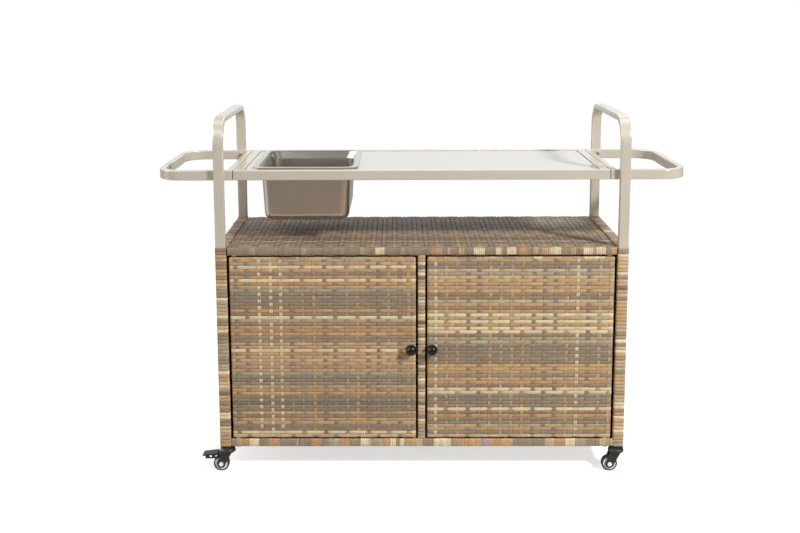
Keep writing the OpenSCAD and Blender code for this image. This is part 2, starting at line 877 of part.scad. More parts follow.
module tyre(side, end) {
    half = wheel_w / 2;
    edge = tyre_t / 2;
    color(black) at_caster(side, end) translate([-trail, 0, wheel_r]) rotate([90, 0, 0])
        rotate_extrude() {
            translate([rim_r, -half]) square([tyre_t - edge, wheel_w]);
            translate([rim_r, -half + edge]) square([tyre_t, wheel_w - 2 * edge]);
            for (y = [-half + edge, half - edge]) {
                translate([wheel_r - edge, y]) circle(edge);
            }
        }
}

// Brake pedal: a barrel on the brake pin, a shoe over the wheel and a foot plate with side flanges
module pedal(end) {
    play = 0.3;
    arm_y = cheek_y - play;
    plate_t = 3;
    plate_x = -trail - 8;
    plate_lap = 2;
    shoe_gap = 2.6;
    shoe_half = 3;
    flange_t = 2;
    plate_rise = 5;
    plate_edge = 1;
    flange_h = 6.5;
    flange_end = 7;
    flange_start = 1.5;
    hole_d = 6;
    hole_start = 3.5;
    hole_pitch = 14.5;
    hole_drop = 3.75;
    root_z = brake_z + plate_rise;
    color(black) at_caster(left, end) difference() {
        union() {
            translate([brake_x, -arm_y, brake_z]) rotate([-90, 0, 0]) cylinder(r = brake_r, h = 2 * arm_y);
            box([plate_x - plate_lap, -arm_y, brake_z - plate_t], [brake_x, arm_y, brake_z]);
            box([-trail - shoe_half, -arm_y + flange_t, wheel_d + shoe_gap],
                [-trail + shoe_half, arm_y - flange_t, brake_z - plate_t / 2]);
            box([plate_x - plate_lap, -arm_y, brake_z - plate_t], [plate_x, arm_y, root_z - plate_t / 2]);
            hull() {
                box([-pedal_reach, -pedal_w / 2, brake_z - plate_t],
                    [-pedal_reach + plate_edge, pedal_w / 2, brake_z]);
                box([plate_x - plate_edge, -pedal_w / 2, root_z - plate_t], [plate_x, pedal_w / 2, root_z]);
            }
            for (y = [-pedal_w / 2, pedal_w / 2 - flange_t]) {
                translate([0, y + flange_t, 0]) rotate([90, 0, 0]) linear_extrude(flange_t) polygon([
                    [-pedal_reach + flange_end, brake_z - plate_t / 2], [plate_x, root_z - plate_t / 2],
                    [plate_x + flange_start, root_z - plate_t], [plate_x + flange_start, brake_z - plate_t],
                    [plate_x - flange_start, brake_z - plate_t - flange_h],
                    [-pedal_reach + flange_end, brake_z - plate_t - flange_h]
                ]);
            }
        }
        brake_pin(brake_pin_d + 2 * run_fit, pedal_w);
        for (x = [plate_x - hole_start, plate_x - hole_start - hole_pitch]) {
            translate([x, -pedal_w, brake_z - hole_drop]) rotate([-90, 0, 0])
                cylinder(d = hole_d, h = 2 * pedal_w);
        }
    }
}

module front_left_fork() { fork(left, front); }
module front_right_fork() { fork(right, front); }
module back_left_fork() { fork(left, back); }
module back_right_fork() { fork(right, back); }
module front_left_axle() { axle(left, front); }
module front_right_axle() { axle(right, front); }
module back_left_axle() { axle(left, back); }
module back_right_axle() { axle(right, back); }
module front_left_wheel() { wheel(left, front); }
module front_right_wheel() { wheel(right, front); }
module back_left_wheel() { wheel(left, back); }
module back_right_wheel() { wheel(right, back); }
module front_left_tyre() { tyre(left, front); }
module front_right_tyre() { tyre(right, front); }
module back_left_tyre() { tyre(left, back); }
module back_right_tyre() { tyre(right, back); }
module front_left_pedal() { pedal(front); }
module back_left_pedal() { pedal(back); }

left_arch();
right_arch();
side_rails();
front_bottom_rail();
centre_mullion();
front_left_post_wrap();
front_right_post_wrap();
back_left_post_wrap();
back_right_post_wrap();
side_rail_wraps();
bottom_rail_wrap();
mullion_wrap();
shelf_panel();
bottom_panel();
back_panel();
left_side_panel();
right_side_panel();
panel_bolts();
panel_spacers();
counter_frame();
counter_glass();
glass_pads();
left_loop();
right_loop();
loop_bolts();
steel_pan();
pivot_pins();
pivot_washers();
door_catches();
left_door_frame();
left_door_weave();
left_door_bushings();
left_knob();
left_knob_screw();
left_strike();
right_door_frame();
right_door_weave();
right_door_bushings();
right_knob();
right_knob_screw();
right_strike();
caster_sockets();
front_left_fork();
front_left_axle();
front_left_wheel();
front_left_tyre();
front_right_fork();
front_right_axle();
front_right_wheel();
front_right_tyre();
back_left_fork();
back_left_axle();
back_left_wheel();
back_left_tyre();
back_right_fork();
back_right_axle();
back_right_wheel();
back_right_tyre();
front_left_pedal();
back_left_pedal();
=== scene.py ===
import math
import random

import bmesh
import bpy
import numpy as np
from mathutils import Matrix, Vector


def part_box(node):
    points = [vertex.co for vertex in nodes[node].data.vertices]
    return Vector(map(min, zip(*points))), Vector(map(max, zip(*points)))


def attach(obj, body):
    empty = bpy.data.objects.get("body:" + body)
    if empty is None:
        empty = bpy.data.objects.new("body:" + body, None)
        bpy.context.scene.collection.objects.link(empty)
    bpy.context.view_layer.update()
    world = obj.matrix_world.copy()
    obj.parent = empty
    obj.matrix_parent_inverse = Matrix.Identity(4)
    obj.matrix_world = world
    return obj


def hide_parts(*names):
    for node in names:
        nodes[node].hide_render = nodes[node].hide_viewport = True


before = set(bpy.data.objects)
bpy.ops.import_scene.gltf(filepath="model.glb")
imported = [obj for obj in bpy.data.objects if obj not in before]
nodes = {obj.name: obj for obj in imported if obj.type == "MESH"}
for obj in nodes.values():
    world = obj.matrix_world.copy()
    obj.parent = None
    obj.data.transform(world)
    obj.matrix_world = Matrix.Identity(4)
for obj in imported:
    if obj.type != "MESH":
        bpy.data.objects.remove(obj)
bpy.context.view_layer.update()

scene = bpy.context.scene
xAxis, yAxis, zAxis = Vector((1, 0, 0)), Vector((0, 1, 0)), Vector((0, 0, 1))
print("frame loaded:", len(nodes), "nodes")


def linkObject(name, data):
    thing = bpy.data.objects.new(name, data)
    scene.collection.objects.link(thing)
    return thing


def meshFrom(bm, name):
    mesh = bpy.data.meshes.new(name)
    bm.to_mesh(mesh)
    bm.free()
    return mesh


# The camera stands where the photograph was taken from.
camera = {
    "place": (-0.0595, -2.7524, 1.1831),
    "tiltDown": 0.1455,
    "roll": 0.0046,
    "turn": 0.0100,
    "sensor": 36.0,
    "lens": 47.465,
    "shiftX": 0.0173,
    "shiftY": -0.1350,
    "near": 0.05,
    "far": 60.0,
}
lens = bpy.data.cameras.new("camera")
lens.sensor_width = camera["sensor"]
lens.lens = camera["lens"]
lens.shift_x = camera["shiftX"]
lens.shift_y = camera["shiftY"]
lens.clip_start = camera["near"]
lens.clip_end = camera["far"]
cameraObject = linkObject("camera", lens)
cameraObject.location = camera["place"]
cameraObject.rotation_euler = (math.pi / 2 - camera["tiltDown"], camera["roll"], camera["turn"])
scene.camera = cameraObject
scene.view_settings.view_transform = "Standard"


# Shader maths: a socket with the usual operators
def plug(tree, target, value):
    if isinstance(value, Socket):
        tree.links.new(value.link, target)
    elif isinstance(value, (tuple, list)) and len(value) == 3 and target.type == "RGBA":
        target.default_value = (*value, 1.0)
    else:
        target.default_value = value


class Socket:
    def __init__(self, tree, link):
        self.tree = tree
        self.link = link

    def maths(self, operation, other, flip=False):
        node = self.tree.nodes.new("ShaderNodeMath")
        node.operation = operation
        for slot, value in enumerate((other, self) if flip else (self, other)):
            plug(self.tree, node.inputs[slot], value)
        return Socket(self.tree, node.outputs[0])

    def __add__(self, other):
        return self.maths("ADD", other)

    __radd__ = __add__

    def __sub__(self, other):
        return self.maths("SUBTRACT", other)

    def __rsub__(self, other):
        return self.maths("SUBTRACT", other, flip=True)

    def __mul__(self, other):
        return self.maths("MULTIPLY", other)

    __rmul__ = __mul__


class NodeMaker:
    def __init__(self, tree):
        self.tree = tree

    def node(self, kind, settings, sockets, output=0):
        node = self.tree.nodes.new(kind)
        for key, value in settings.items():
            setattr(node, key, value)
        for key, value in sockets.items():
            plug(self.tree, node.inputs[key], value)
        return Socket(self.tree, node.outputs[output])

    def place(self):
        return self.node("ShaderNodeTexCoord", {}, {}, "Object")

    def stretched(self, scales):
        return self.node("ShaderNodeVectorMath", {"operation": "MULTIPLY"}, {0: self.place(), 1: scales})

    def part(self, vector, axis):
        return self.node("ShaderNodeSeparateXYZ", {}, {0: vector}, axis)

    def noise(self, vector, scale, detail=2.0, seed=0.0):
        return self.node("ShaderNodeTexNoise", {"noise_dimensions": "4D"},
                         {"Vector": vector, "W": seed, "Scale": scale, "Detail": detail}, "Fac")

    def mix(self, factor, first, second):
        return self.node("ShaderNodeMix", {"data_type": "RGBA"}, {0: factor, 6: first, 7: second}, 2)

    def shade(self, colour, hue, value):
        return self.node("ShaderNodeHueSaturation", {}, {"Hue": hue, "Value": value, "Color": colour})

    def bump(self, height, strength, distance):
        return self.node("ShaderNodeBump", {}, {"Height": height, "Strength": strength, "Distance": distance})

    def ease(self, value, start, end, low=0.0, high=1.0):
        # a smooth step from low to high while value goes from start to end
        return self.node("ShaderNodeMapRange", {"interpolation_type": "SMOOTHSTEP"},
                         {"Value": value, "From Min": start, "From Max": end, "To Min": low, "To Max": high})

    def ray(self, kind):
        return self.node("ShaderNodeLightPath", {}, {}, f"Is {kind} Ray")


class Finish(NodeMaker):
    def __init__(self, name):
        self.material = bpy.data.materials.new(name)
        self.material.use_nodes = True
        super().__init__(self.material.node_tree)
        self.shader = self.tree.nodes["Principled BSDF"]

    def set(self, **values):
        for key, value in values.items():
            plug(self.tree, self.shader.inputs[key.replace("_", " ")], value)
        return self.material


def light(*rgb):
    # 0 to 255 as seen on a screen, to the linear colour that the shader wants
    return tuple((c / 255 / 12.92) if c < 10 else ((c / 255 + 0.055) / 1.055) ** 2.4 for c in rgb)


# Strand colours, named as they look in daylight
strandTones = {
    "c": light(220, 199, 162),  # cream
    "s": light(194, 169, 134),  # sand
    "h": light(190, 156, 112),  # honey
    "o": light(187, 147, 104),  # orange tan
    "t": light(184, 155, 122),  # pinkish tan
    "k": light(176, 160, 126),  # khaki
    "l": light(167, 152, 127),  # light grey
    "g": light(148, 131, 109),  # grey brown
    "b": light(150, 126, 98),   # brown
    "d": light(126, 111, 93),   # dark grey
    "v": light(166, 152, 148),  # grey lilac
}
dice = random.Random(23)


def readSett(text):
    # "2g c" is two grey brown strands and a cream one
    tones = []
    for word in text.split():
        tones += [word[-1]] * int(word[:-1] or 1)
    return tones


def randomSett(count, weights, longest=4):
    letters, shares = zip(*weights.items())
    tones = []
    while len(tones) < count:
        tones += dice.choices(letters, shares) * dice.randint(1, longest)
    return tones[:count]


def filledSett(tones, count, weights, longest=4):
    return (tones + randomSett(count, weights, longest))[:count]


def strandTone(letter, spread, shade=1.0):
    # the fourth number makes each strand's grain its own
    value = shade * (1.0 + dice.uniform(-spread, spread))
    return [c * value for c in strandTones[letter]] + [dice.random()]


# Rattan: each strand's own colour, with drifting, mottled and lengthwise changes
rattan = {
    "fineLines": 620.0,  # how fast the lines change across a strand
    "longLines": 14.0,   # and along it
    "driftScale": 11.0,
    "mottleScale": 75.0,
    "drift": 0.35,
    "mottle": 0.5,
    "lines": 0.4,
    "driftHue": 0.03,
    "mottleHue": 0.05,
    "seedStep": 40.0,
    "roughness": 0.36,
    "linesRoughness": 0.3,
    "specular": 0.45,
    "bump": 0.35,
    "bumpDepth": 0.0004,
}


def rattanFinish(name, across):
    f = Finish(name)
    grain = [rattan["fineLines"] if axis == across else rattan["longLines"] for axis in "xyz"]
    tone = f.node("ShaderNodeAttribute", {"attribute_name": "tone"}, {}, "Color")
    seed = f.node("ShaderNodeAttribute", {"attribute_name": "tone"}, {}, "Alpha") * rattan["seedStep"]
    drift = f.noise(f.place(), rattan["driftScale"], 1.0, seed) - 0.5
    mottle = f.noise(f.place(), rattan["mottleScale"], 3.0, seed) - 0.5
    lines = f.noise(f.stretched(grain), 1.0, 3.0, seed)
    value = 1.0 + drift * rattan["drift"] + mottle * rattan["mottle"] + (lines - 0.5) * rattan["lines"]
    hue = 0.5 + mottle * rattan["mottleHue"] + drift * rattan["driftHue"]
    return f.set(Base_Color=f.shade(tone, hue, value),
                 Roughness=rattan["roughness"] + lines * rattan["linesRoughness"],
                 Specular_IOR_Level=rattan["specular"],
                 Normal=f.bump(lines, rattan["bump"], rattan["bumpDepth"]))


rattanAcross = {axis: rattanFinish(f"rattan_across_{axis}", axis) for axis in "zxy"}

# rattan_shadow: painted shade, the dark colour of the blocks inside the woven panels
f = Finish("rattan_shadow")
shadowTone = f.mix(f.noise(f.place(), 60.0), light(38, 28, 20), light(58, 44, 31))
rattanShadow = f.set(Base_Color=shadowTone, Roughness=0.8)
print("rattan finishes made")

# Cross-section of a strand by its number of sides, for a strand from -1 to 1 across and through:
# the first turn in degrees, then how far the corners at its edges and on its faces are pushed out
sections = {
    4: {"turn": 45, "edge": (1.414, 1.414)},
    6: {"turn": 90, "edge": (1.0, 1.0), "face": (1.72, 1.155)},
    8: {"turn": 22.5, "edge": (1.082, 1.1), "face": (2.1, 1.082)},
}
edgeFrom = 0.6  # corners further out than this belong to the edges
quarter = (0, 30, 60, 90)  # degrees at which a strand has a station round a corner


# Strand shapes. A strand is a ring carried along a flat path, one station at a time.
def station(point, tangent, axes, width, thick):
    along, depth, across = axes
    out = along * -tangent[1] + depth * tangent[0]
    run = along * tangent[0] + depth * tangent[1]
    place = along * point[0] + depth * point[1]
    m = Matrix.Identity(4)
    for row in range(3):
        m[row][0] = across[row] * width / 2
        m[row][1] = out[row] * thick / 2
        m[row][2] = run[row]
        m[row][3] = place[row]
    return m


def tangents(path, closed):
    result = []
    count = len(path)
    for i in range(count):
        before = path[i - 1] if (i or closed) else path[i]
        after = path[(i + 1) % count] if (i < count - 1 or closed) else path[i]
        d = Vector((after[0] - before[0], after[1] - before[1])).normalized()
        result.append((d.x, d.y))
    return result


def strandRing(bm, sides):
    section = sections[sides]
    turn = Matrix.Rotation(math.radians(section["turn"]), 3, "Z")
    bmesh.ops.create_circle(bm, segments=sides, radius=1.0, cap_ends=False)
    bmesh.ops.rotate(bm, verts=bm.verts, cent=(0, 0, 0), matrix=turn)
    corners = {"edge": [v for v in bm.verts if abs(v.co.x) > edgeFrom],
               "face": [v for v in bm.verts if abs(v.co.x) <= edgeFrom]}
    for kind, verts in corners.items():
        if kind in section:
            bmesh.ops.scale(bm, vec=(*section[kind], 1.0), verts=verts)


def strand(name, path, axes, width, thick, sides=6, closed=True):
    # path is a list of (along, depth, width share), the first two in metres
    bm = bmesh.new()
    strandRing(bm, sides)
    places = [station(p, t, axes, width * p[2], thick) for p, t in zip(path, tangents(path, closed))]
    firstEdges = list(bm.edges)
    edges = firstEdges
    bmesh.ops.transform(bm, matrix=places[0], verts=bm.verts)
    for before, after in zip(places, places[1:]):
        step = bmesh.ops.extrude_edge_only(bm, edges=edges)["geom"]
        edges = [e for e in step if isinstance(e, bmesh.types.BMEdge)]
        verts = [v for v in step if isinstance(v, bmesh.types.BMVert)]
        bmesh.ops.transform(bm, matrix=after @ before.inverted(), verts=verts)
    if closed:
        bmesh.ops.bridge_loops(bm, edges=firstEdges + edges)
    else:
        for ring in (firstEdges, edges):
            bmesh.ops.contextual_create(bm, geom=ring)
    bmesh.ops.recalc_face_normals(bm, faces=bm.faces)
    return meshFrom(bm, name)


def bell(x):
    return 0.5 + 0.5 * math.cos(math.pi * x) if abs(x) < 1 else 0.0


# How strands cross, in metres below the panel's face
crossing = {
    "weftThick": 0.0017,
    "warpThick": 0.0012,
    "dip": 0.0022,        # of a weft under a warp
    "lift": 0.0002,       # of a weft over a warp
    "dipReach": 0.0095,   # to each side of the warp
    "narrowing": 0.34,    # of a weft under a warp
    "endMargin": 0.006,   # without a station at a panel's ends
    "warpOver": 0.0,
    "warpUnder": 0.0017,
    "warpEnd": 0.0023,
    "warpFlat": 0.26,     # share of a row to each side of its middle
    "warpWidth": 0.0042,
    "warpPair": 0.0044,   # between the two strands of a warp
    "coreInset": 0.0022,
    "coreBevel": 0.002,
}
# Where a weft has its stations at a crossing, as shares of the dip's reach
crossingSteps = {
    "front": {"under": (-1.0, -0.5, 0.0, 0.5, 1.0), "over": (-0.8, 0.0, 0.8)},
    "back": {"under": (-1.0, 0.0, 1.0), "over": (0.0,)},
}


def cornerTurn(x, y, radius, start):
    turns = [math.radians(start + a) for a in quarter]
    return [(x + radius * math.cos(t), y + radius * math.sin(t), 1.0) for t in turns]


def weftFace(face, length, warps, parity, relief):
    # one face of a weft from 0 to length, dipping under each second warp
    points = []
    for k, place in enumerate(warps):
        under = (k + parity) % 2 == 0
        for s in crossingSteps[face]["under" if under else "over"]:
            u = place + s * crossing["dipReach"]
            if not crossing["endMargin"] < u < length - crossing["endMargin"]:
                continue
            dip = relief * bell(s) * (crossing["dip"] if under else -crossing["lift"])
            narrowing = crossing["narrowing"] * bell(s) if under else 0.0
            points.append((u, crossing["weftThick"] / 2 + dip, 1 - narrowing))
    return points


def weftLoop(length, depth, warps, parity, corner, relief):
    # round the panel: front face, end, back face, end
    r = corner - crossing["weftThick"] / 2
    path = weftFace("front", length, warps, parity, relief)
    path += cornerTurn(length - corner, corner, r, -90) + cornerTurn(length - corner, depth - corner, r, 0)
    back = weftFace("back", length, warps, parity, relief)
    path += [(u, depth - v, w) for u, v, w in reversed(back)]
    return path + cornerTurn(corner, depth - corner, r, 90) + cornerTurn(corner, corner, r, 180)


def warpStrip(rows, pitch, parity, ends):
    # along the warp: on top of each second row, under the others
    half = crossing["warpThick"] / 2
    path = [(ends[0], crossing["warpEnd"] + half, 1.0)]
    for r in range(rows):
        level = crossing["warpOver" if (r + parity) % 2 == 0 else "warpUnder"] + half
        for flat in (-crossing["warpFlat"], crossing["warpFlat"]):
            path.append(((r + 0.5 + flat) * pitch, level, 1.0))
    return path + [(ends[1], crossing["warpEnd"] + half, 1.0)]


def ringPath(width, depth, corner, thick):
    # closed turn round a bar whose outer size is width by depth
    r = corner - thick / 2
    return (cornerTurn(width - corner, corner, r, -90) + cornerTurn(width - corner, depth - corner, r, 0)
            + cornerTurn(corner, depth - corner, r, 90) + cornerTurn(corner, corner, r, 180))


def edgeBend(radius, half):
    # quarter bend over an edge, for a strand whose middle lies half a thickness deep
    middle = radius - half
    turns = [math.radians(a) for a in quarter[1:]]
    return [(radius - middle * math.cos(t), radius - middle * math.sin(t)) for t in turns]


def addPiece(name, mesh, finish, body, replaced=()):
    mesh.polygons.foreach_set("use_smooth", [True] * len(mesh.polygons))
    mesh.materials.append(finish)
    piece = linkObject(name, mesh)
    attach(piece, body)
    if replaced:
        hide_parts(*replaced)


def layStrands(name, items, finish, body, replaced=()):
    # items are (mesh, shift, tone); all of them become one piece
    bm = bmesh.new()
    tones = []
    for mesh, shift, tone in items:
        start = len(bm.verts)
        bm.from_mesh(mesh)
        bm.verts.ensure_lookup_table()
        bmesh.ops.translate(bm, verts=bm.verts[start:], vec=shift)
        tones += tone * (len(bm.verts) - start)
    mesh = meshFrom(bm, name)
    toneData = mesh.attributes.new("tone", "FLOAT_COLOR", "POINT").data
    toneData.foreach_set("color", np.array(tones, np.float32))
    addPiece(name, mesh, finish, body, replaced)


def shadeCoreBlock(name, lo, hi, body):
    # painted shade: a dark block inside a woven panel, standing for the shade seen between and behind its
    # strands
    bm = bmesh.new()
    bmesh.ops.create_cube(bm, size=1.0)
    inset = Vector((1, 1, 1)) * crossing["coreInset"]
    bmesh.ops.scale(bm, vec=hi - lo - 2 * inset, verts=bm.verts)
    bmesh.ops.translate(bm, vec=(hi + lo) / 2, verts=bm.verts)
    bmesh.ops.bevel(bm, geom=bm.edges, offset=crossing["coreBevel"], segments=2, profile=0.5,
                    affect="EDGES", material=-1)
    addPiece(name, meshFrom(bm, name), rattanShadow, body)


# Woven doors and panels. Wefts run round each one, warps run over its front and its back.
wovenShape = {
    "body": "cart",
    "rowPitch": 0.0087,
    "corner": 0.004,
    "sides": 6,
    "fill": 0.97,
    "relief": 1.0,
    "jitter": 0.0,
    "spread": 0.07,
    "warpSpread": 0.05,
    "shade": 1.0,
    "warpShade": 1.0,
    "warpTones": "g l k g v t",
    "warpEnds": 0.001,
    "parity": 0,
}
doorShape = {
    "face": "door",
    "along": "x",
    "corner": 0.005,
    "sides": 8,
    "jitter": 0.0002,
    "spread": 0.05,
    "shade": 0.9,
    "warpShade": 0.9,
    "warpStart": 0.002,
    "finish": "z",
    "warpFinish": "x",
}
# Warp places are in millimetres from the door's left edge
doors = {
    "left_door": {
        "rows": "h t c o g o c o t l 4g b o g c t g 2o h b g t h c o h s t o t l 3g t o h 2g d g "
                "b t g o t g b c s",
        "warpTones": "2g 3c g l h 2g l h 2g l g h",
        "warpPlaces": (17, 43, 74, 103, 128, 155, 182, 211, 238, 264, 293, 320, 347, 373, 398, 426, 448),
    },
    "right_door": {
        "rows": "h 2g s l s 2h t h b g s h b h c k c o 2c b l k 5g b 2h o g 2h b 2c 2g b g c b o "
                "2g t h g s",
        "warpTones": "c h t 2g h k t o 3g h c g k s",
        "warpPlaces": (21, 48, 76, 103, 130, 158, 185, 212, 239, 267, 294, 321, 349, 376, 403, 431, 458),
        "parity": 1,
    },
}
binding = {
    "height": 0.0036,   # free of wefts at a door's top
    "pitch": 0.0033,
    "fill": 0.96,
    "corner": 0.0035,
    "reach": 0.005,     # down a door's faces
    "sideGap": 0.004,
    "spread": 0.12,
    "mix": {"h": 5, "c": 3, "s": 3, "t": 2, "g": 2, "o": 2},
    "longest": 14,
}
panelMix = {"g": 6, "b": 4, "d": 3, "t": 3, "k": 3, "l": 2, "o": 2, "h": 2, "c": 1}
panels = {
    "shelf_panel": {
        "along": "x", "face": "top", "warpPitch": 0.0268, "finish": "y", "warpFinish": "x",
        # The shelf's shade and warpShade factors and the dark rows at its front are painted shade, for the
        # shadow under the counter; its rows and warp tones also follow the strands' own colours.
        "fill": 0.9, "relief": 1.9, "shade": 0.78, "warpShade": 0.88,
        "rows": "g b s d h b d b s g 4d b o b t o b t b k 2d b 2d g d b 2d b g b d v g b d g b d "
                "b g b",
        "warpTones": "2v t l v g",
    },
    "bottom_panel": {
        "along": "x", "face": "top", "warpPitch": 0.0277, "finish": "y", "warpFinish": "x",
    },
    "back_panel": {
        "along": "x", "face": "back", "warpPitch": 0.0277, "finish": "z", "warpFinish": "x",
    },
    "left_side_panel": {
        "along": "y", "face": "left", "warpPitch": 0.0272, "finish": "z", "warpFinish": "y",
    },
    "right_side_panel": {
        "along": "y", "face": "right", "warpPitch": 0.0272, "finish": "z", "warpFinish": "y",
    },
}
# For each face: its first corner, 0 for the low end and 1 for the high end of X, Y and Z, then which
# way depth goes and which way the rows follow each other
faceTurns = {
    "door": ((0, 0, 1), yAxis, -zAxis),
    "top": ((0, 0, 1), -zAxis, yAxis),
    "back": ((0, 1, 1), -yAxis, -zAxis),
    "left": ((0, 0, 1), xAxis, -zAxis),
    "right": ((1, 0, 1), -xAxis, -zAxis),
}
axisNamed = {"x": xAxis, "y": yAxis, "z": zAxis}


def turnsOf(piece, lo, hi):
    # the first corner, then the ways along a row, inwards and from row to row
    ends, inward, onward = faceTurns[piece["face"]]
    corner = Vector([(lo, hi)[end][i] for i, end in enumerate(ends)])
    return corner, (axisNamed[piece["along"]], inward, onward)


def layWefts(name, piece, origin, axes, length, depth, pitch, rows, warps, replaced):
    inward, onward = axes[1:]
    wefts = []
    for parity in (0, 1):
        path = weftLoop(length, depth, warps, parity, piece["corner"], piece["relief"])
        wefts.append(strand(f"{name}_weft_{parity}", path, axes, pitch * piece["fill"],
                            crossing["weftThick"], piece["sides"]))
    items = []
    for r, letter in enumerate(rows):
        place = origin + onward * (r + 0.5) * pitch
        if piece["jitter"]:
            place -= onward * dice.uniform(-piece["jitter"], piece["jitter"])
            place += inward * dice.uniform(0, piece["jitter"])
        tone = strandTone(letter, piece["spread"], piece["shade"])
        items.append((wefts[(r + piece["parity"]) % 2], place, tone))
    layStrands(f"{name}_wefts", items, rattanAcross[piece["finish"]], piece["body"], (replaced,))


def layWarps(name, piece, origin, axes, depth, pitch, count, warps, ends):
    # two thin strands side by side for each warp, on both faces
    along, inward, onward = axes
    letters = readSett(piece["warpTones"])
    items = []
    for face, depthAxis, shift in (("front", inward, 0.0), ("back", -inward, depth)):
        strips = []
        for parity in (0, 1):
            path = warpStrip(count, pitch, parity, ends)
            strips.append(strand(f"{name}_warp_{face}_{parity}", path, (onward, depthAxis, along),
                                 crossing["warpWidth"], crossing["warpThick"], 4, False))
        for k, warp in enumerate(warps):
            letter = letters[k] if "warpPlaces" in piece else letters[dice.randrange(len(letters))]
            for side in (-0.5, 0.5):
                place = origin + along * (warp + side * crossing["warpPair"]) + inward * shift
                tone = strandTone(letter, piece["warpSpread"], piece["warpShade"])
                items.append((strips[(k + piece["parity"]) % 2], place, tone))
    layStrands(f"{name}_warps", items, rattanAcross[piece["warpFinish"]], piece["body"])


def bindDoor(name, lo, hi):
    # strands side by side over the top and bottom edges
    thick = crossing["warpThick"]
    half = thick / 2
    pitch = binding["pitch"]
    items = []
    for edge, z, inward in (("top", hi.z, -zAxis), ("bottom", lo.z, zAxis)):
        path = [(half, binding["reach"], 1.0), (half, binding["corner"], 1.0)]
        path += [(u, v, 1.0) for u, v in edgeBend(binding["corner"], half)]
        path += [(hi.y - lo.y - u, v, w) for u, v, w in reversed(path)]
        mesh = strand(f"{name}_binding_{edge}", path, (yAxis, inward, xAxis),
                      pitch * binding["fill"], thick, 6, False)
        count = int((hi.x - lo.x - 2 * binding["sideGap"]) / pitch)
        for i, letter in enumerate(randomSett(count, binding["mix"], binding["longest"])):
            x = lo.x + binding["sideGap"] + (i + 0.5) * pitch
            items.append((mesh, (x, lo.y, z), strandTone(letter, binding["spread"])))
    layStrands(f"{name}_binding", items, rattanAcross["x"], name)


def buildDoor(name, door):
    lo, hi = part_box(f"{name}_weave")
    corner, axes = turnsOf(door, lo, hi)
    length, depth, height = hi - lo
    rows = readSett(door["rows"])
    pitch = (height - binding["height"]) / len(rows)
    warps = [place / 1000 for place in door["warpPlaces"]]
    origin = corner - zAxis * binding["height"]
    layWefts(name, door, origin, axes, length, depth, pitch, rows, warps, f"{name}_weave")
    ends = (-door["warpStart"], len(rows) * pitch - door["warpEnds"])
    layWarps(name, door, origin, axes, depth, pitch, len(rows), warps, ends)
    bindDoor(name, lo, hi)
    shadeCoreBlock(f"{name}_shade_core", lo, hi, name)
    print(name, "woven:", len(rows), "rows")


def buildPanel(name, panel):
    lo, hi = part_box(name)
    corner, axes = turnsOf(panel, lo, hi)
    length, depth, height = [abs((hi - lo).dot(axis)) for axis in axes]
    count = round(height / panel["rowPitch"])
    pitch = height / count
    warpCount = round(length / panel["warpPitch"])
    warps = [(k + 0.5) * length / warpCount for k in range(warpCount)]
    rows = readSett(panel["rows"]) if "rows" in panel else randomSett(count, panelMix)
    rows = filledSett(rows, count, panelMix)
    layWefts(name, panel, corner, axes, length, depth, pitch, rows, warps, name)
    ends = (panel["warpEnds"], height - panel["warpEnds"])
    layWarps(name, panel, corner, axes, depth, pitch, count, warps, ends)
    shadeCoreBlock(f"{name}_shade_core", lo, hi, panel["body"])
    print(name, "woven:", count, "rows,", warpCount, "warps")


for name, door in doors.items():
    buildDoor(name, {**wovenShape, **doorShape, "body": name, **door})
for name, panel in panels.items():
    buildPanel(name, {**wovenShape, **panel})

# Wrapped bars: turns of one flat strand round the posts, the rails and the mullion
wraps = {
    "front_left_post_wrap": {
        "pitch": 0.0091, "across": "z",
        "tones": "2b h t b g 2h b h s 3g c 2l h s c 2g s c 2b g 4l 2g s l c 2o s c h d h t b h b "
                 "2c 2g 2s l t 2h",
    },
    "front_right_post_wrap": {
        "pitch": 0.0091, "across": "z",
        "tones": "k g c s 2h l c g s t d o s b 3h o t h o v h g l c g s c o g s t k g t o 3t g h "
                 "l 2c b h c t h s c 2h 2l",
    },
    "back_left_post_wrap": {"pitch": 0.0087, "across": "z"},
    "back_right_post_wrap": {"pitch": 0.0087, "across": "z"},
    "mullion_wrap": {
        "pitch": 0.0089, "across": "z", "shade": 0.94,
        "tones": "h t c d s c d 2l h c g t c l g h c s d l c h g c t k l c h s g c b l h c t g s "
                 "c l h d c s t g c h l",
    },
    "bottom_rail_wrap": {
        "pitch": 0.0048, "across": "x", "shade": 1.1,
        "tones": "3g 3l 4o 5c 5g 6o 9g t 7g 5o 4g 6l 5o 6g 5c 6l 5h 3c 2g 2c 4k 3h 3s 6g 9c 5l 5o "
                 "6h 5v 6o 6h 17g 5s 6o 5c 6l 7g 3s 3k",
    },
}
wrapShape = {"thick": 0.0015, "corner": 0.0037, "fill": 0.98, "spread": 0.08, "longest": 3}
wrapMix = {"g": 5, "b": 3, "t": 4, "h": 3, "s": 3, "l": 3, "o": 2, "c": 2, "k": 2}
barTurns = {"x": (yAxis, zAxis, xAxis), "y": (xAxis, zAxis, yAxis), "z": (xAxis, yAxis, zAxis)}


